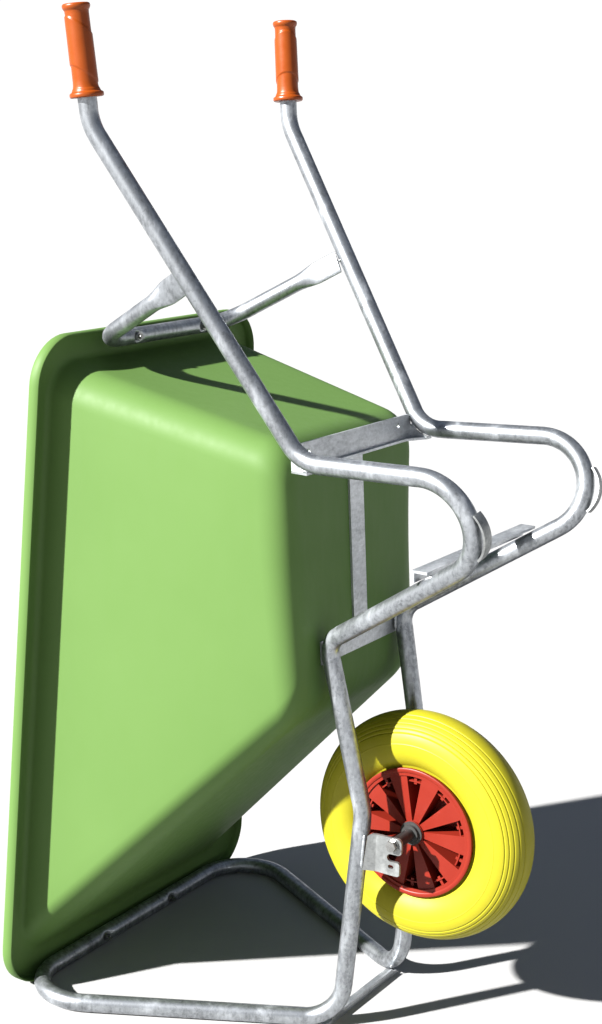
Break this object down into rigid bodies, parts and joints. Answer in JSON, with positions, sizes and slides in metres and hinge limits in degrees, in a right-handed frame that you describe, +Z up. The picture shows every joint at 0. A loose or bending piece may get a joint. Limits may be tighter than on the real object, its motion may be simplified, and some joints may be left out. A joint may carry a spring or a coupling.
{
  "type": "wheelbarrow",
  "caption": "Single-wheel barrow with a deep plastic tray on a bent galvanised tube frame, stored standing on its nose with the grips up.",
  "frame": {"origin": "centre of the bounding box's bottom face, on the floor under the middle of the barrow as it stands on its nose", "axes": "+Z up along the handles towards the grips, -X the way the tray opens, +X towards the wheel and legs, +Y the user's right-hand side; turning the part by -90 degrees about +Y brings it to the working pose"},
  "size_m": [0.8403, 0.6926, 1.6655],
  "materials": {
    "galvanised_tube": "hot-dip galvanised",
    "galvanised_plate": "hot-dip galvanised sheet",
    "green_plastic": "satin moulded",
    "orange_grip": "soft gloss",
    "yellow_tyre": "smooth foam",
    "red_rim": "satin moulded",
    "black_plastic": "matte",
    "dark_steel": "oiled",
    "zinc": "zinc plated"
  },
  "bodies": {
    "frame": {"frame_tube": "galvanised_tube", "rear_stay": "galvanised_tube", "rear_cross_angle": "galvanised_plate", "tray_strap": "galvanised_plate", "front_cross_plate": "galvanised_plate", "leg_cross_angle": "galvanised_plate", "tip_bar": "galvanised_plate", "skid_shoe_left": "galvanised_plate", "skid_shoe_right": "galvanised_plate", "axle_bracket_left": "galvanised_plate", "axle_bracket_right": "galvanised_plate", "tray": "green_plastic", "grip_left": "orange_grip", "grip_right": "orange_grip", "tray_bolts_rear": "zinc", "tray_bolts_front": "zinc", "tray_nuts_rear": "zinc", "tray_nuts_front": "zinc", "axle_tube": "dark_steel", "axle_bolt": "zinc", "axle_washers": "zinc", "axle_nut": "zinc", "hub_ring_left": "black_plastic", "hub_ring_right": "black_plastic"},
    "wheel": {"tyre": "yellow_tyre", "wheel_rim": "red_rim", "hub_bush_left": "black_plastic", "hub_bush_right": "black_plastic"}
  },
  "joints": [
    {"name": "wheel_spin", "type": "hinge", "parent": "frame", "child": "wheel", "pos_m": [0.219, 0, 0.355], "axis": [0, 1, 0], "continuous": true}
  ]
}
